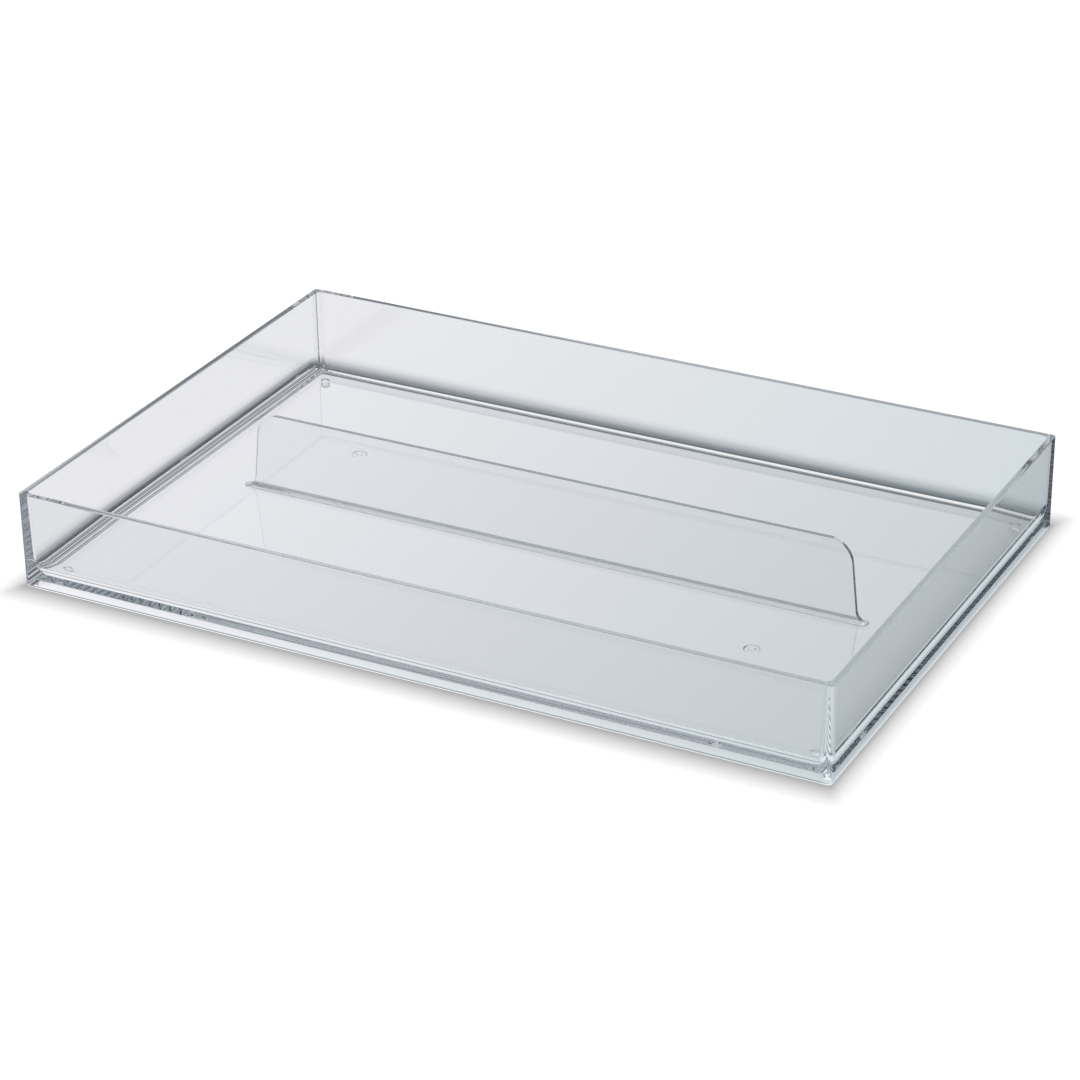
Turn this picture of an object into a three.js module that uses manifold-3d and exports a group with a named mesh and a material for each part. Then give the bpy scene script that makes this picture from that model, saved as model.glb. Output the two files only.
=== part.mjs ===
// A clear moulded letter tray with a low upright divider standing on its floor, near the middle.
// Millimetres, +Z up. The origin is on the resting plane, under the middle of the tray.
// X runs along the long side, and the front wall is at -Y.

import * as THREE from 'three';
import { mergeVertices } from 'three/addons/utils/BufferGeometryUtils.js';
import Module from 'manifold-3d';

// Tray
const trayLength = 340;
const trayDepth = 225;
const trayHeight = 40;
const outerCornerRadius = 1.6;
const edgeRounding = 0.35;
const wallAtRim = 2.6;
const wallAtFoot = 3.1;
const innerCornerRadius = 2.4;

// Floor
const floorTop = 4.5;
const floorThickness = 1.5;
const filletHeight = 8;
const filletWidth = 4.5;
const baseRimWidth = 3.2;

// Moulding marks: two round dimples in the underside of the floor, each with a nib in its middle
const gateMarkRadius = 3.3;
const gateMarkDepth = 0.7;
const gateNibRadius = 1;
const gateMarkX = 107.4;
const gateMarkY = 40.4;

// Divider
const dividerX = 2;
const dividerY = -4.4;
const dividerTop = 38;
const dividerHalfLengthAtFoot = 132.9;
const dividerHalfLengthAtTop = 129.4;
const dividerTopCorner = 9;
const dividerEndFillet = 4.5;
const panelAtFoot = 2.0;
const panelAtTop = 1.5;
const panelFillet = 1.7;
const footEdge = 0.2;

// Corner feet
const footInsetX = 11.5;
const footInsetY = 14;
const footRadius = 1.9;
const footRounding = 0.3;

// Clearance kept between pieces that meet, and how far a cutting shape runs past what it cuts
const gap = 0.3;
const overrun = 5;
const arcSteps = 8;

const recessTop = floorTop - floorThickness;

const wasm = await Module();
wasm.setup();

function toSolid(geometry) {
  geometry.deleteAttribute('normal');
  geometry.deleteAttribute('uv');
  const merged = mergeVertices(geometry, 1e-4);
  return new wasm.Manifold(new wasm.Mesh({
    numProp: 3,
    vertProperties: new Float32Array(merged.attributes.position.array),
    triVerts: new Uint32Array(merged.index.array),
  }));
}

function toGeometry(solid) {
  const mesh = solid.getMesh();
  const geometry = new THREE.BufferGeometry();
  geometry.setAttribute('position', new THREE.BufferAttribute(mesh.vertProperties, 3));
  geometry.setIndex(new THREE.BufferAttribute(mesh.triVerts, 1));
  geometry.computeVertexNormals();
  return geometry;
}

function roundedRectangle(sizeX, sizeY, radius) {
  const x = sizeX / 2 - radius;
  const y = sizeY / 2 - radius;
  const quarter = Math.PI / 2;
  const shape = new THREE.Shape();
  shape.absarc(x, y, radius, 0, quarter);
  shape.absarc(-x, y, radius, quarter, 2 * quarter);
  shape.absarc(-x, -y, radius, 2 * quarter, 3 * quarter);
  shape.absarc(x, -y, radius, 3 * quarter, 4 * quarter);
  return shape;
}

function uprightPrism(shape, bottom, top) {
  const geometry = new THREE.ExtrudeGeometry(shape, {
    depth: top - bottom, bevelEnabled: false, curveSegments: arcSteps,
  });
  geometry.translate(0, 0, bottom);
  return toSolid(geometry);
}

// A side view drawn in X and Z, carried along Y
function alongY(shape, width) {
  const geometry = new THREE.ExtrudeGeometry(shape, {
    depth: width, bevelEnabled: false, curveSegments: arcSteps,
  });
  geometry.rotateX(Math.PI / 2);
  geometry.translate(0, width / 2, 0);
  return geometry;
}

// An end view drawn in Y and Z, carried along X
function alongX(shape, width) {
  const geometry = alongY(shape, width);
  geometry.rotateZ(Math.PI / 2);
  return geometry;
}

function uprightCylinder(radius, bottom, top, sides) {
  const geometry = new THREE.CylinderGeometry(radius, radius, top - bottom, sides);
  geometry.rotateX(Math.PI / 2);
  geometry.translate(0, 0, (top + bottom) / 2);
  return geometry;
}

// The hollow between two facing walls: a flat floor, a round sweep up into each wall, and walls
// that get thinner towards the rim
function hollowOutline(outerSize) {
  const atRim = outerSize / 2 - wallAtRim;
  const atFoot = outerSize / 2 - wallAtFoot;
  const centreX = atFoot - filletWidth;
  const centreZ = floorTop + filletHeight;
  const slope = (wallAtFoot - wallAtRim) / (trayHeight - centreZ);
  const mouth = atRim + slope * overrun;
  const half = Math.PI;
  const shape = new THREE.Shape();
  shape.moveTo(mouth, trayHeight + overrun);
  shape.lineTo(-mouth, trayHeight + overrun);
  shape.absellipse(-centreX, centreZ, filletWidth, filletHeight, half, 1.5 * half);
  shape.absellipse(centreX, centreZ, filletWidth, filletHeight, 1.5 * half, 2 * half);
  return shape;
}

// The ring of space round the nib of a moulding mark
function gateMark() {
  const bottom = recessTop - overrun;
  const top = recessTop + gateMarkDepth;
  const dimple = toSolid(uprightCylinder(gateMarkRadius, bottom, top, 24));
  const nib = toSolid(uprightCylinder(gateNibRadius, bottom, top + overrun, 16));
  const clearance = toSolid(uprightCylinder(gateMarkRadius, bottom, recessTop, 24));
  return dimple.subtract(nib).add(clearance);
}

function traySolid() {
  const inset = 2 * edgeRounding;
  const block = new THREE.ExtrudeGeometry(
    roundedRectangle(trayLength - inset, trayDepth - inset, outerCornerRadius - edgeRounding),
    {
      depth: trayHeight - inset,
      bevelThickness: edgeRounding,
      bevelSize: edgeRounding,
      bevelSegments: 2,
      curveSegments: 4,
    },
  );
  block.translate(0, 0, edgeRounding);

  const hollow = toSolid(alongY(hollowOutline(trayLength), trayDepth))
    .intersect(toSolid(alongX(hollowOutline(trayDepth), trayLength)))
    .intersect(uprightPrism(
      roundedRectangle(trayLength - 2 * wallAtRim, trayDepth - 2 * wallAtRim, innerCornerRadius),
      0, trayHeight + overrun,
    ));

  const recess = uprightPrism(
    roundedRectangle(
      trayLength - 2 * baseRimWidth, trayDepth - 2 * baseRimWidth, innerCornerRadius,
    ),
    -overrun, recessTop,
  );

  let tray = toSolid(block).subtract(hollow).subtract(recess);
  for (const side of [-1, 1]) {
    tray = tray.subtract(gateMark().translate(side * gateMarkX, -side * gateMarkY, 0));
  }
  return tray;
}

// The divider's side view: tapering ends, round top corners and a foot that flares out
function dividerSideOutline(bottom) {
  const foot = dividerHalfLengthAtFoot;
  const top = dividerHalfLengthAtTop;
  const shape = new THREE.Shape();
  shape.moveTo(-foot - dividerEndFillet, bottom);
  shape.lineTo(foot + dividerEndFillet, bottom);
  shape.lineTo(foot + dividerEndFillet, bottom + footEdge);
  const centreZ = bottom + footEdge + dividerEndFillet;
  const quarter = Math.PI / 2;
  shape.absarc(foot + dividerEndFillet, centreZ, dividerEndFillet, 3 * quarter, 2 * quarter, true);
  shape.absarc(top - dividerTopCorner, dividerTop - dividerTopCorner, dividerTopCorner, 0, quarter);
  shape.absarc(
    -top + dividerTopCorner, dividerTop - dividerTopCorner, dividerTopCorner, quarter, 2 * quarter,
  );
  shape.absarc(-foot - dividerEndFillet, centreZ, dividerEndFillet, 0, -quarter, true);
  return shape;
}

// The divider's end view: a panel that thins towards a round top edge, on a flared foot
function dividerEndOutline(bottom) {
  const halfFoot = panelAtFoot / 2;
  const halfTop = panelAtTop / 2;
  const quarter = Math.PI / 2;
  const centreZ = bottom + footEdge + panelFillet;
  const shape = new THREE.Shape();
  shape.moveTo(-halfFoot - panelFillet, bottom);
  shape.lineTo(halfFoot + panelFillet, bottom);
  shape.lineTo(halfFoot + panelFillet, bottom + footEdge);
  shape.absarc(halfFoot + panelFillet, centreZ, panelFillet, 3 * quarter, 2 * quarter, true);
  shape.absarc(0, dividerTop - halfTop, halfTop, 0, 2 * quarter);
  shape.absarc(-halfFoot - panelFillet, centreZ, panelFillet, 0, -quarter, true);
  return shape;
}

function dividerSolid() {
  const bottom = floorTop + gap;
  const reach = 2 * (panelAtFoot + panelFillet);
  const run = 2 * (dividerHalfLengthAtFoot + dividerEndFillet) + overrun;
  return toSolid(alongY(dividerSideOutline(bottom), reach))
    .intersect(toSolid(alongX(dividerEndOutline(bottom), run)))
    .translate(dividerX, dividerY, 0);
}

// A foot: a short round peg that fills the height of the recess under the floor
function footGeometry() {
  const top = recessTop - gap;
  const profile = [
    [0, 0],
    [footRadius - footRounding, 0],
    [footRadius, footRounding],
    [footRadius, top],
    [0, top],
  ].map(([radius, z]) => new THREE.Vector2(radius, z));
  const geometry = new THREE.LatheGeometry(profile, 24);
  geometry.rotateX(Math.PI / 2);
  return toGeometry(toSolid(geometry));
}

function footPlaces() {
  const x = trayLength / 2 - footInsetX;
  const y = trayDepth / 2 - footInsetY;
  return [[-x, -y], [x, -y], [-x, y], [x, y]];
}

function clearMaterial(name, color, roughness, opacity) {
  return new THREE.MeshStandardMaterial({
    name, color, roughness, metalness: 0, transparent: true, opacity,
  });
}
const clearPlastic = clearMaterial('clear_plastic', 0xd5dee2, 0.05, 0.35);
const clearFoot = clearMaterial('clear_foot', 0xdfe6e8, 0.12, 0.5);

function named(name, geometry, material) {
  const mesh = new THREE.Mesh(geometry, material.clone());
  mesh.name = name;
  return mesh;
}

const letterTray = new THREE.Group();
letterTray.add(named('tray_shell', toGeometry(traySolid()), clearPlastic));
letterTray.add(named('centre_divider', toGeometry(dividerSolid()), clearPlastic));
const footNames = ['foot_front_left', 'foot_front_right', 'foot_back_left', 'foot_back_right'];
footPlaces().forEach(([x, y], index) => {
  const foot = named(footNames[index], footGeometry(), clearFoot);
  foot.position.set(x, y, 0);
  letterTray.add(foot);
});

export default letterTray;
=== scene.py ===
"""Looks for a clear moulded letter tray with a low divider standing on its floor.

Metres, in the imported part's frame: X along the tray, the front wall at -Y, +Z up, and the tray
standing on z = 0.
"""

from math import cos, pi, radians, sin, sqrt

import bmesh
import bpy
from mathutils import Matrix, Vector


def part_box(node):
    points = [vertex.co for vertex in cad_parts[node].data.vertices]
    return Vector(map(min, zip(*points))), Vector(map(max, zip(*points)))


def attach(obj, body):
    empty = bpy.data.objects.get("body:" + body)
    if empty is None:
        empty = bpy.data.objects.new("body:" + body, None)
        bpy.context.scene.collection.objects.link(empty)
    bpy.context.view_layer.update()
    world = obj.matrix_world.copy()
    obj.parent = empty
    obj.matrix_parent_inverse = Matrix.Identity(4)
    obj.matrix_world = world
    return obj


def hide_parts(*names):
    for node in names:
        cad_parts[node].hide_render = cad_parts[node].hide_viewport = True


MM = 0.001

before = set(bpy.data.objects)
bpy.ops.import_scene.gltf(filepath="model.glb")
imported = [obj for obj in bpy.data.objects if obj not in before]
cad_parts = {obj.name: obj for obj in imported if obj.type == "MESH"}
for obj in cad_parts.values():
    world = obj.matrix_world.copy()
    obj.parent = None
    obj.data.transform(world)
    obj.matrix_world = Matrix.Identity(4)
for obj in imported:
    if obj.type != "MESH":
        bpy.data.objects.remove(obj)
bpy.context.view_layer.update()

# Tray
TRAY_LOW, TRAY_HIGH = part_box("tray_shell")
HALF_X = (TRAY_HIGH.x - TRAY_LOW.x) / 2
HALF_Y = (TRAY_HIGH.y - TRAY_LOW.y) / 2
HEIGHT = TRAY_HIGH.z
OUTER_CORNER = 1.8 * MM
INNER_CORNER = 2.4 * MM
WALL_AT_RIM = 2.6 * MM
WALL_AT_FOOT = 3.1 * MM
BASE_RIM = 3.2 * MM
FLOOR_TOP = 4.5 * MM
RECESS_TOP = 3.0 * MM
FILLET_WIDTH = 4.5 * MM
FILLET_HEIGHT = 8 * MM
RIM_ROUNDING = 0.45 * MM
FOOT_ROUNDING = 0.3 * MM
RECESS_ROUNDING = 0.35 * MM

# Moulding marks in the underside of the floor, one on each side of the middle
MARK_X = 107.4 * MM
MARK_Y = 40.4 * MM
MARK_RADIUS = 3.3 * MM
MARK_DEPTH = 0.7 * MM
NIB_RADIUS = 1.0 * MM

# Divider
DIVIDER_LOW, DIVIDER_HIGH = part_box("centre_divider")
DIVIDER_X = (DIVIDER_LOW.x + DIVIDER_HIGH.x) / 2
DIVIDER_Y = (DIVIDER_LOW.y + DIVIDER_HIGH.y) / 2
DIVIDER_TOP = DIVIDER_HIGH.z
DIVIDER_END_FLARE = 4.5 * MM
DIVIDER_SIDE_FLARE = 1.7 * MM
DIVIDER_HALF_AT_FOOT = (DIVIDER_HIGH.x - DIVIDER_LOW.x) / 2 - DIVIDER_END_FLARE
DIVIDER_HALF_AT_TOP = 129.4 * MM
DIVIDER_CORNER = 9 * MM
PANEL_AT_FOOT = 2.0 * MM
PANEL_AT_TOP = 1.7 * MM
PANEL_ROUNDING = 0.2 * MM

# Corner radius of a fully round end, as a share of its half width
FULLY_ROUND = 0.98

# How finely curves are cut
RING_CORNER_STEPS = 14
CIRCLE_STEPS = 40
ROUNDING_STEPS = 5
SWEEP_STEPS = 28
MARK_STEPS = 16
FLARE_STEPS = 24
DIVIDER_CORNER_STEPS = 18

# Pieces that are one moulding meet at faces this far apart, which are marked so they don't show.
# The face that the tray rests on is marked too, as if it were wetted to the desk.
SEAM = 0.02 * MM
SEAM_MARK = "seam"
RESTING_FACE_HEIGHT = FOOT_ROUNDING / 20

# Narrow end faces are painted darker. This painted shade stands for the dark lines that light
# gives them when it comes a long way through the plastic to them. Each shade below is a share of
# the full one.
EDGE_SHADE_MARK = "edge_shade"
RIM_SHADE = 0.7
DIVIDER_EDGE_SHADE = 1
DIVIDER_PANEL_SHADE = 0.035
FACING_THE_END = 0.6

# The divider's flared foot gets two thin painted dark lines, painted shade, with a clear band
# between them. Their edges are shares of the flare's height.
FOOT_LINE_SHADE = 0.75
FOOT_LINE_TOP = 0.1
FLARE_LINE_SHADE = 0.9
FLARE_LINE_BOTTOM = 0.65

# Plastic
INDEX = 1.5
SEAM_INDEX = 1.0
SURFACE_COLOUR = (0.965, 0.97, 0.975, 1)
# The painted dark shade of the narrow end faces
EDGE_SHADE_COLOUR = (0.19, 0.22, 0.25, 1)
SEAM_COLOUR = (1, 1, 1, 1)
DEPTH_COLOUR = (0.55, 0.605, 0.655, 1)
DEPTH_DENSITY = 6.5

# The stage's floor, which lies a little under the tray
FLOOR_HALF_SIZE = 6
FLOOR_DROP = 0.05 * MM

# The floor's glow, painted light in place of its lighting: on the open floor; through the plastic
# round the hollow and under it, each at the tray's left and right end, brighter round the hollow
# and painted darker towards the right; and mirrored in the outside of the plastic, a painted dark
# reflection
GLOW_OPEN = (1.1, 1.1, 1.1, 1)
GLOW_AROUND = ((1.30, 1.296, 1.33, 1), (1.035, 1.13, 1.16, 1))
GLOW_BELOW = ((1.21, 1.203, 1.263, 1), (0.812, 0.889, 0.926, 1))
GLOW_MIRRORED = (0.02, 0.03, 0.04, 1)

# The floor's shade follows the distance from the tray's outer faces, as far as this either way.
# Round the corners, the shades at the ends and at the sides run into each other.
SHADE_REACH = 16 * MM
CORNER_BLEND = 3 * MM

# The shade of the open floor: (millimetres outside the tray's outer faces, colour)
OPEN_SHADE_AT_ENDS = [
    (0, (0.40, 0.395, 0.395)),
    (2, (0.60, 0.59, 0.59)),
    (5, (0.78, 0.775, 0.78)),
    (9, (0.92, 0.92, 0.92)),
    (14, (1.0, 1.0, 1.0)),
]
OPEN_SHADE_AT_SIDES = [
    (0, (0.40, 0.395, 0.395)),
    (3, (0.55, 0.54, 0.54)),
    (6, (0.68, 0.67, 0.675)),
    (10, (0.82, 0.815, 0.82)),
    (16, (1.0, 1.0, 1.0)),
]

# The same as seen through the plastic
SHADE_AT_LEFT = [
    (-16, (0.70, 0.70, 0.70)),
    (-4.2, (0.68, 0.68, 0.69)),
    (-3.8, (0.80, 0.80, 0.80)),
    (-3.2, (0.80, 0.80, 0.80)),
    (-2.4, (0.12, 0.13, 0.14)),
    (-1.4, (0.12, 0.13, 0.14)),
    (-0.8, (0.50, 0.51, 0.52)),
    (0, (0.12, 0.13, 0.14)),
    (2, (0.04, 0.055, 0.065)),
    (5, (0.19, 0.20, 0.215)),
    (9, (0.40, 0.41, 0.42)),
    (13, (0.58, 0.58, 0.58)),
    (16, (0.66, 0.66, 0.66)),
]
SHADE_AT_RIGHT = [
    (-16, (0.70, 0.70, 0.70)),
    (-9, (0.58, 0.59, 0.60)),
    (-8, (0.80, 0.80, 0.80)),
    (-3.2, (0.80, 0.80, 0.80)),
    (-2.8, (0.85, 0.86, 0.87)),
    (-0.4, (0.85, 0.86, 0.87)),
    (0, (0.34, 0.36, 0.38)),
    (8, (0.42, 0.43, 0.44)),
    (15, (0.66, 0.66, 0.66)),
]
SHADE_AT_FRONT = [
    (-16, (0.70, 0.70, 0.70)),
    (-9.5, (0.72, 0.72, 0.72)),
    (-8, (0.83, 0.83, 0.83)),
    (-3.2, (0.84, 0.84, 0.84)),
    (-2.8, (0.26, 0.28, 0.30)),
    (-2, (0.26, 0.28, 0.30)),
    (-1.6, (0.80, 0.80, 0.80)),
    (-0.4, (0.80, 0.80, 0.80)),
    (0, (0.16, 0.19, 0.21)),
    (8, (0.494, 0.502, 0.51)),
    (15, (0.66, 0.66, 0.66)),
]
SHADE_AT_BACK = [
    (-10.2, (0.70, 0.70, 0.70)),
    (-9, (0.54, 0.55, 0.56)),
    (-8, (0.58, 0.59, 0.60)),
    (-5.5, (0.68, 0.68, 0.68)),
    (-3.2, (0.70, 0.69, 0.695)),
    (-2.8, (0.14, 0.155, 0.165)),
    (0, (0.08, 0.10, 0.115)),
    (3, (0.20, 0.215, 0.23)),
    (5.5, (0.40, 0.41, 0.42)),
    (8, (0.50, 0.505, 0.51)),
    (13, (0.65, 0.65, 0.65)),
    (16, (0.66, 0.66, 0.66)),
]

# The studio: a broad light high up at the back left, darker towards the horizon
LIGHT_DIRECTION = (-0.7, 0.1, 1.0)
LIGHT_EDGE = -0.2
LIGHT_MIDDLE = 1.0
STUDIO_DIM = (0.66, 0.67, 0.68, 1)
STUDIO_BRIGHT = (0.93, 0.93, 0.93, 1)
HORIZON = (0.24, 0.27, 0.30, 1)
HORIZON_BOTTOM = 0.02
HORIZON_TOP = 0.42
BACKDROP = (1.1, 1.1, 1.1, 1)

# Camera
CAMERA_AZIMUTH = 27.6
CAMERA_ELEVATION = 27.1
CAMERA_ROLL = -0.65
CAMERA_DISTANCE = 1.3617
CAMERA_AIM = (-3.73 * MM, 2.92 * MM, 4.5 * MM)
CAMERA_LENS = 114.72
CAMERA_SENSOR = 36
CAMERA_REACH = 20

# Light is followed this far, because it is guided a long way inside clear plastic
LIGHT_BOUNCES = 128


def rounded_ring(half_x, half_y, corner, z, centre=(0, 0)):
    """Points of a level rectangle with round corners."""
    points = []
    for quarter, (side_x, side_y) in enumerate([(1, 1), (-1, 1), (-1, -1), (1, -1)]):
        for step in range(RING_CORNER_STEPS + 1):
            angle = (quarter + step / RING_CORNER_STEPS) * pi / 2
            x = side_x * (half_x - corner) + corner * cos(angle)
            y = side_y * (half_y - corner) + corner * sin(angle)
            points.append((centre[0] + x, centre[1] + y, z))
    return points


def circle_ring(x, y, radius, z):
    """Points of a level circle."""
    angles = [2 * pi * step / CIRCLE_STEPS for step in range(CIRCLE_STEPS)]
    return [(x + radius * cos(angle), y + radius * sin(angle), z) for angle in angles]


def arc(centre, radii, start, end, steps):
    """Points along an ellipse's arc, angles in degrees, in the plane of inset and height."""
    points = []
    for step in range(steps + 1):
        angle = radians(start + (end - start) * step / steps)
        points.append((centre[0] + radii[0] * cos(angle), centre[1] + radii[1] * sin(angle)))
    return points


def rounding(inset, z, radius, start, end):
    """Points along a small round edge, given its centre."""
    return arc((inset, z), (radius, radius), start, end, ROUNDING_STEPS)


def wall_rings():
    """Rings of the wall's skin, from the recess under the floor, down round the foot, up the
    outside, over the rim and down the sweep to the floor."""
    recess = rounding(
        BASE_RIM + RECESS_ROUNDING, RECESS_TOP - RECESS_ROUNDING, RECESS_ROUNDING, 90, 180,
    )
    foot_inner = rounding(
        BASE_RIM - FOOT_ROUNDING / 2, FOOT_ROUNDING / 2, FOOT_ROUNDING / 2, 0, -90,
    )
    foot_outer = rounding(FOOT_ROUNDING, FOOT_ROUNDING, FOOT_ROUNDING, 270, 180)
    rim_outer = rounding(RIM_ROUNDING, HEIGHT - RIM_ROUNDING, RIM_ROUNDING, 180, 90)
    rim_inner = rounding(WALL_AT_RIM - RIM_ROUNDING, HEIGHT - RIM_ROUNDING, RIM_ROUNDING, 90, 0)
    sweep = arc(
        (WALL_AT_FOOT + FILLET_WIDTH, FLOOR_TOP + FILLET_HEIGHT),
        (FILLET_WIDTH, FILLET_HEIGHT), 180, 270, SWEEP_STEPS,
    )
    section = [(inset, z, INNER_CORNER) for inset, z in recess + foot_inner]
    section += [(inset, z, OUTER_CORNER - inset) for inset, z in foot_outer + rim_outer]
    section += [(inset, z, INNER_CORNER) for inset, z in rim_inner + sweep]
    rings = []
    for inset, z, corner in section:
        rings.append(rounded_ring(HALF_X - inset, HALF_Y - inset, corner, z))
    return rings


def add_loop(bm, points):
    return [bm.verts.new(point) for point in points]


def join_loops(bm, below, above):
    count = len(below)
    for i in range(count):
        j = (i + 1) % count
        bm.faces.new((below[i], below[j], above[j], above[i]))


def loft(bm, rings):
    """Joins rings of equal length into a skin. Gives the first and the last loop of vertices."""
    loops = [add_loop(bm, ring) for ring in rings]
    for below, above in zip(loops, loops[1:]):
        join_loops(bm, below, above)
    return loops[0], loops[-1]


def loop_edges(bm, loop):
    """The edges round a loop of vertices, made where they aren't there yet."""
    edges = []
    for i in range(len(loop)):
        pair = (loop[i - 1], loop[i])
        edges.append(bm.edges.get(pair) or bm.edges.new(pair))
    return edges


def mark_face(bm, face, mark, amount=1):
    face[bm.faces.layers.float[mark]] = amount


def close_at_seam(bm, loop):
    """Closes a loop with a face that meets a face of the neighbouring piece."""
    mark_face(bm, bm.faces.new(loop), SEAM_MARK)


def mesh_object(name, build):
    """A new smooth mesh object whose faces build(bm) makes."""
    bm = bmesh.new()
    for mark in (SEAM_MARK, EDGE_SHADE_MARK):
        bm.faces.layers.float.new(mark)
    build(bm)
    bmesh.ops.recalc_face_normals(bm, faces=bm.faces)
    mesh = bpy.data.meshes.new(name)
    bm.to_mesh(mesh)
    bm.free()
    mesh.shade_smooth()
    piece = bpy.data.objects.new(name, mesh)
    bpy.context.scene.collection.objects.link(piece)
    weighted = piece.modifiers.new("even_shading", "WEIGHTED_NORMAL")
    weighted.mode = "FACE_AREA"
    weighted.keep_sharp = True
    return piece


def build_tray(bm):
    """The walls, the floor and the skirt, with the places where the other pieces meet them."""
    recess_edge, floor_edge = loft(bm, wall_rings())
    divider_foot = add_loop(bm, divider_foot_ring(FLOOR_TOP))
    join_loops(bm, floor_edge, divider_foot)
    close_at_seam(bm, divider_foot)
    ceiling = loop_edges(bm, recess_edge)
    for x, y, radius in foot_places():
        loop = add_loop(bm, circle_ring(x, y, radius, RECESS_TOP))
        close_at_seam(bm, loop)
        ceiling += loop_edges(bm, loop)
    for side in (-1, 1):
        ceiling += loop_edges(bm, build_mark(bm, side * MARK_X, -side * MARK_Y))
    bmesh.ops.triangle_fill(bm, use_beauty=True, edges=ceiling)
    for face in bm.faces:
        height = face.calc_center_median().z
        # The rim's top faces get the painted edge shade.
        if height > HEIGHT - RIM_ROUNDING / 2:
            mark_face(bm, face, EDGE_SHADE_MARK, RIM_SHADE)
        if height < RESTING_FACE_HEIGHT:
            mark_face(bm, face, SEAM_MARK)


def build_mark(bm, x, y):
    """A round groove with a flat nib in its middle. Gives the loop round its mouth."""
    middle = (MARK_RADIUS + NIB_RADIUS) / 2
    profile = arc((middle, 0), (MARK_RADIUS - middle, MARK_DEPTH), 0, 180, MARK_STEPS)
    mouth, nib = loft(bm, [circle_ring(x, y, radius, RECESS_TOP + up) for radius, up in profile])
    bm.faces.new(nib)
    return mouth


def flare(radius, height):
    """How far a hollow round flare of that radius still stands out at a height."""
    short = max(radius - height, 0)
    return radius - sqrt(radius * radius - short * short)


def drawn_in(radius, height, top):
    """How far a round upper edge of that radius has drawn in at a height."""
    up = max(height - (top - radius), 0)
    return radius - sqrt(max(radius ** 2 - up ** 2, 0))


def divider_foot_ring(z):
    half_x = DIVIDER_HALF_AT_FOOT + DIVIDER_END_FLARE
    half_y = PANEL_AT_FOOT / 2 + DIVIDER_SIDE_FLARE
    return rounded_ring(half_x, half_y, half_y * FULLY_ROUND, z, (DIVIDER_X, DIVIDER_Y))


def divider_ring(bottom, rise, height):
    """One level slice of the divider, at a height above its bottom."""
    share = height / rise
    half_x = DIVIDER_HALF_AT_FOOT + share * (DIVIDER_HALF_AT_TOP - DIVIDER_HALF_AT_FOOT)
    half_x += flare(DIVIDER_END_FLARE, height)
    half_x -= drawn_in(DIVIDER_CORNER, height, rise)
    half_y = (PANEL_AT_FOOT + share * (PANEL_AT_TOP - PANEL_AT_FOOT)) / 2
    half_y += flare(DIVIDER_SIDE_FLARE, height)
    half_y -= drawn_in(PANEL_ROUNDING, height, rise)
    corner = max(PANEL_ROUNDING, flare(DIVIDER_SIDE_FLARE, height))
    corner = min(corner, half_y * FULLY_ROUND)
    return rounded_ring(half_x, half_y, corner, bottom + height, (DIVIDER_X, DIVIDER_Y))


def divider_heights(rise):
    """Heights of the slices above the divider's bottom, close together where it curves."""
    heights = []
    for step in range(1, FLARE_STEPS + 1):
        heights.append(DIVIDER_END_FLARE * (1 - cos(pi / 2 * step / FLARE_STEPS)))
    for step in range(DIVIDER_CORNER_STEPS):
        heights.append(rise - DIVIDER_CORNER * (1 - sin(pi / 2 * step / DIVIDER_CORNER_STEPS)))
    for step in range(ROUNDING_STEPS + 1):
        heights.append(rise - PANEL_ROUNDING * (1 - sin(pi / 2 * step / ROUNDING_STEPS)))
    return sorted(set(heights))


def divider_painted_shade(face):
    """How much painted shade a face of the divider gets: the painted edge shade on its top and
    ends, and thin painted dark lines at its foot.
    """
    middle = face.calc_center_median()
    if middle.z > DIVIDER_TOP - PANEL_ROUNDING or abs(face.normal.x) > FACING_THE_END:
        return DIVIDER_EDGE_SHADE
    share = (middle.z - FLOOR_TOP) / DIVIDER_SIDE_FLARE
    if share >= 1:
        return DIVIDER_PANEL_SHADE
    # Painted dark lines at the bottom and the top of the flared foot
    if share < FOOT_LINE_TOP:
        return FOOT_LINE_SHADE
    if share > FLARE_LINE_BOTTOM:
        return FLARE_LINE_SHADE
    return 0


def build_divider(bm):
    """The upright panel, as a stack of level slices."""
    bottom = FLOOR_TOP + SEAM
    rise = DIVIDER_TOP - bottom
    rings = [divider_foot_ring(bottom)]
    rings += [divider_ring(bottom, rise, height) for height in divider_heights(rise)]
    foot, top = loft(bm, rings)
    bm.faces.new(top)
    for face in bm.faces:
        face.normal_update()
        # Each face gets its share of the painted shade on the divider's top, ends and foot.
        mark_face(bm, face, EDGE_SHADE_MARK, divider_painted_shade(face))
    close_at_seam(bm, foot)


def foot_places():
    """Middle and radius of each foot under the floor."""
    places = []
    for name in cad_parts:
        if name.startswith("foot"):
            low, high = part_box(name)
            places.append(((low.x + high.x) / 2, (low.y + high.y) / 2, (high.x - low.x) / 2))
    return places


def feed(links, socket, value):
    """Gives a socket a plain value, or links another socket to it."""
    if isinstance(value, bpy.types.NodeSocket):
        links.new(value, socket)
    else:
        socket.default_value = value


def mixed(nodes, links, factor, first, second):
    """A colour that goes from the first to the second; each is a plain colour or a socket."""
    mix = nodes.new("ShaderNodeMix")
    mix.data_type = "RGBA"
    links.new(factor, mix.inputs["Factor"])
    feed(links, mix.inputs["A"], first)
    feed(links, mix.inputs["B"], second)
    return mix.outputs["Result"]


def multiplied(nodes, links, first, second):
    """The product of two colours; each is a plain colour or a socket."""
    mix = nodes.new("ShaderNodeMix")
    mix.data_type = "RGBA"
    mix.blend_type = "MULTIPLY"
    mix.inputs["Factor"].default_value = 1
    feed(links, mix.inputs["A"], first)
    feed(links, mix.inputs["B"], second)
    return mix.outputs["Result"]


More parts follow.
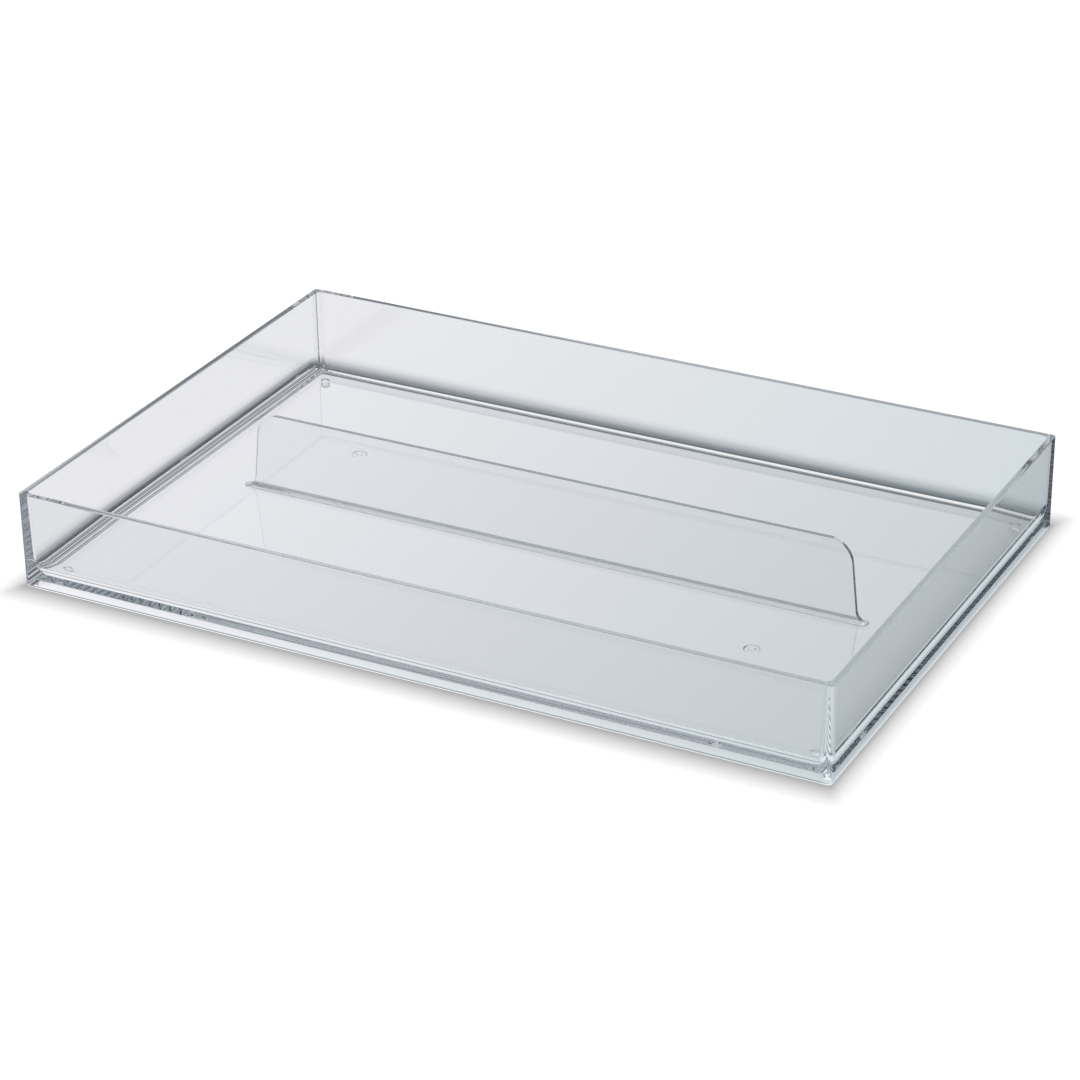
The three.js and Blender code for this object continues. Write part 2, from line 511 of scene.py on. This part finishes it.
def math_node(nodes, links, operation, first, second=0.0):
    """One step of arithmetic; each input is a number or a socket."""
    node = nodes.new("ShaderNodeMath")
    node.operation = operation
    feed(links, node.inputs[0], first)
    feed(links, node.inputs[1], second)
    return node.outputs[0]


def share_between(nodes, links, value, low, high, interpolation="LINEAR"):
    """How far a value is on its way from low to high, from 0 to 1."""
    share = nodes.new("ShaderNodeMapRange")
    share.interpolation_type = interpolation
    share.inputs["From Min"].default_value = low
    share.inputs["From Max"].default_value = high
    links.new(value, share.inputs["Value"])
    return share.outputs["Result"]


def clear_plastic():
    """Clear plastic with a cool tint that deepens along the path of the light inside it, and with
    painted shade on its narrow end faces.
    """
    material = bpy.data.materials.new("clear_plastic")
    material.use_nodes = True
    nodes, links = material.node_tree.nodes, material.node_tree.links
    shader = nodes["Principled BSDF"]
    shader.inputs["Roughness"].default_value = 0.0
    shader.inputs["IOR"].default_value = INDEX
    shader.inputs["Transmission Weight"].default_value = 1.0
    seam, edge_shade = nodes.new("ShaderNodeAttribute"), nodes.new("ShaderNodeAttribute")
    seam.attribute_name = SEAM_MARK
    edge_shade.attribute_name = EDGE_SHADE_MARK
    # The narrow end faces get the painted dark shade in their colour.
    surface = mixed(nodes, links, edge_shade.outputs["Fac"], SURFACE_COLOUR, EDGE_SHADE_COLOUR)
    tint = mixed(nodes, links, seam.outputs["Fac"], surface, SEAM_COLOUR)
    links.new(tint, shader.inputs["Base Color"])
    bending = nodes.new("ShaderNodeMapRange")
    bending.inputs["To Min"].default_value = INDEX
    bending.inputs["To Max"].default_value = SEAM_INDEX
    links.new(seam.outputs["Fac"], bending.inputs["Value"])
    links.new(bending.outputs["Result"], shader.inputs["IOR"])
    depth = nodes.new("ShaderNodeVolumeAbsorption")
    depth.inputs["Color"].default_value = DEPTH_COLOUR
    depth.inputs["Density"].default_value = DEPTH_DENSITY
    links.new(depth.outputs["Volume"], nodes["Material Output"].inputs["Volume"])
    return material


def make_piece(name, build, node, material):
    piece = mesh_object(name, build)
    piece.data.materials.append(material)
    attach(piece, "root")
    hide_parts(node)


def make_foot(name, material):
    """A round peg from the floor's underside to the desk."""
    low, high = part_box(name)
    x, y = (low.x + high.x) / 2, (low.y + high.y) / 2
    radius = (high.x - low.x) / 2
    profile = rounding(radius - FOOT_ROUNDING, FOOT_ROUNDING, FOOT_ROUNDING, -90, 0)
    profile.append((radius, RECESS_TOP - SEAM))

    def build(bm):
        bottom, top = loft(bm, [circle_ring(x, y, reach, z) for reach, z in profile])
        bm.faces.new(bottom)
        close_at_seam(bm, top)

    make_piece(name + "_visual", build, name, material)


def make_object():
    material = clear_plastic()
    make_piece("tray_visual", build_tray, "tray_shell", material)
    make_piece("divider_visual", build_divider, "centre_divider", material)
    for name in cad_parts:
        if name.startswith("foot"):
            make_foot(name, material)


def distance_outside(nodes, links, past_x, past_y):
    """Distance outside a rectangle, with round corners; negative inside it."""
    outside = nodes.new("ShaderNodeCombineXYZ")
    links.new(math_node(nodes, links, "MAXIMUM", past_x), outside.inputs["X"])
    links.new(math_node(nodes, links, "MAXIMUM", past_y), outside.inputs["Y"])
    length = nodes.new("ShaderNodeVectorMath")
    length.operation = "LENGTH"
    links.new(outside.outputs["Vector"], length.inputs[0])
    inside = math_node(nodes, links, "MAXIMUM", past_x, past_y)
    inside = math_node(nodes, links, "MINIMUM", inside)
    return math_node(nodes, links, "ADD", length.outputs["Value"], inside)


def by_distance(nodes, links, distance, stops):
    """A colour that follows (millimetres, colour) stops along a distance."""
    ramp = nodes.new("ShaderNodeValToRGB")
    share = share_between(nodes, links, distance, -SHADE_REACH, SHADE_REACH)
    links.new(share, ramp.inputs["Fac"])
    elements = ramp.color_ramp.elements
    while len(elements) < len(stops):
        elements.new(0.5)
    for element, (millimetres, colour) in zip(elements, stops):
        element.position = (millimetres * MM / SHADE_REACH + 1) / 2
        element.color = (*colour, 1)
    return ramp.outputs["Color"]


def floor_painted_light(nodes, links):
    """The floor's colour, painted light and shade: white on the open floor and greyer through the
    plastic, each with its painted shade round the tray's foot, and nearly black where the plastic
    mirrors it, as a painted dark reflection."""
    coordinates = nodes.new("ShaderNodeTexCoord")
    split = nodes.new("ShaderNodeSeparateXYZ")
    links.new(coordinates.outputs["Object"], split.inputs["Vector"])
    x, y = split.outputs["X"], split.outputs["Y"]

    past_end = math_node(nodes, links, "SUBTRACT", math_node(nodes, links, "ABSOLUTE", x), HALF_X)
    past_back = math_node(nodes, links, "SUBTRACT", y, HALF_Y)
    past_front = math_node(nodes, links, "SUBTRACT", -HALF_Y, y)
    past_side = math_node(nodes, links, "MAXIMUM", past_front, past_back)
    past_foot = distance_outside(nodes, links, past_end, past_side)

    is_right = math_node(nodes, links, "GREATER_THAN", x)
    is_front = math_node(nodes, links, "GREATER_THAN", past_front, past_back)
    is_around = math_node(nodes, links, "GREATER_THAN", past_foot, -BASE_RIM)
    nearer_end = math_node(nodes, links, "SUBTRACT", past_end, past_side)
    is_end = share_between(nodes, links, nearer_end, -CORNER_BLEND, CORNER_BLEND)

    def shade(stops):
        return by_distance(nodes, links, past_foot, stops)

    at_ends = mixed(nodes, links, is_right, shade(SHADE_AT_LEFT), shade(SHADE_AT_RIGHT))
    at_sides = mixed(nodes, links, is_front, shade(SHADE_AT_BACK), shade(SHADE_AT_FRONT))
    shade_through = mixed(nodes, links, is_end, at_sides, at_ends)
    shade_open = mixed(
        nodes, links, is_end, shade(OPEN_SHADE_AT_SIDES), shade(OPEN_SHADE_AT_ENDS),
    )

    # Painted light: through the plastic the glow falls off from the tray's left end to its right.
    across = share_between(nodes, links, x, -HALF_X, HALF_X)
    around = mixed(nodes, links, across, *GLOW_AROUND)
    below = mixed(nodes, links, across, *GLOW_BELOW)
    glow_through = mixed(nodes, links, is_around, below, around)
    through = multiplied(nodes, links, glow_through, shade_through)
    direct = multiplied(nodes, links, GLOW_OPEN, shade_open)

    path = nodes.new("ShaderNodeLightPath")
    seen = mixed(nodes, links, path.outputs["Is Camera Ray"], through, direct)
    # Painted dark reflection: where the plastic mirrors the floor, it is nearly black.
    return mixed(nodes, links, path.outputs["Is Reflection Ray"], seen, GLOW_MIRRORED)


def make_floor():
    """A pale floor that glows instead of being lit, with painted light and shade in its glow."""

    def build(bm):
        bmesh.ops.create_grid(bm, x_segments=1, y_segments=1, size=FLOOR_HALF_SIZE)

    floor = mesh_object("floor", build)
    floor.location.z = -FLOOR_DROP
    material = bpy.data.materials.new("floor")
    material.use_nodes = True
    nodes, links = material.node_tree.nodes, material.node_tree.links
    nodes.remove(nodes["Principled BSDF"])
    material.cycles.emission_sampling = "NONE"
    shader = nodes.new("ShaderNodeEmission")
    links.new(floor_painted_light(nodes, links), shader.inputs["Color"])
    links.new(shader.outputs["Emission"], nodes["Material Output"].inputs["Surface"])
    floor.data.materials.append(material)


def make_camera():
    """A long lens, looking down at the front right corner."""
    azimuth, elevation = radians(CAMERA_AZIMUTH), radians(CAMERA_ELEVATION)
    level = cos(elevation)
    forward = Vector((-sin(azimuth) * level, cos(azimuth) * level, -sin(elevation)))
    right = forward.cross(Vector((0, 0, 1))).normalized()
    up = right.cross(forward)
    turned = Matrix((right, up, -forward)).transposed()
    camera = bpy.data.objects.new("camera", bpy.data.cameras.new("camera"))
    camera.matrix_world = (
        Matrix.Translation(Vector(CAMERA_AIM) - forward * CAMERA_DISTANCE)
        @ turned.to_4x4()
        @ Matrix.Rotation(radians(CAMERA_ROLL), 4, "Z")
    )
    camera.data.lens = CAMERA_LENS
    camera.data.sensor_width = CAMERA_SENSOR
    camera.data.clip_end = CAMERA_REACH
    bpy.context.scene.collection.objects.link(camera)
    bpy.context.scene.camera = camera


def make_world():
    """A soft studio with one broad light, high up at the back left, and a white backdrop."""
    world = bpy.data.worlds.new("studio")
    world.use_nodes = True
    nodes, links = world.node_tree.nodes, world.node_tree.links
    coordinates = nodes.new("ShaderNodeTexCoord")
    towards = nodes.new("ShaderNodeVectorMath")
    towards.operation = "DOT_PRODUCT"
    links.new(coordinates.outputs["Generated"], towards.inputs[0])
    towards.inputs[1].default_value = Vector(LIGHT_DIRECTION).normalized()
    lit = share_between(
        nodes, links, towards.outputs["Value"], LIGHT_EDGE, LIGHT_MIDDLE, "SMOOTHSTEP",
    )
    light = mixed(nodes, links, lit, STUDIO_DIM, STUDIO_BRIGHT)
    split = nodes.new("ShaderNodeSeparateXYZ")
    links.new(coordinates.outputs["Generated"], split.inputs["Vector"])
    height = share_between(
        nodes, links, split.outputs["Z"], HORIZON_BOTTOM, HORIZON_TOP, "SMOOTHSTEP",
    )
    around = mixed(nodes, links, height, HORIZON, light)
    path = nodes.new("ShaderNodeLightPath")
    seen = mixed(nodes, links, path.outputs["Is Camera Ray"], around, BACKDROP)
    links.new(seen, nodes["Background"].inputs["Color"])
    bpy.context.scene.world = world


make_object()
make_floor()
make_camera()
make_world()
scene = bpy.context.scene
scene.view_settings.view_transform = "Standard"
scene.cycles.max_bounces = LIGHT_BOUNCES
scene.cycles.transmission_bounces = LIGHT_BOUNCES
scene.cycles.glossy_bounces = LIGHT_BOUNCES
scene.cycles.blur_glossy = 0
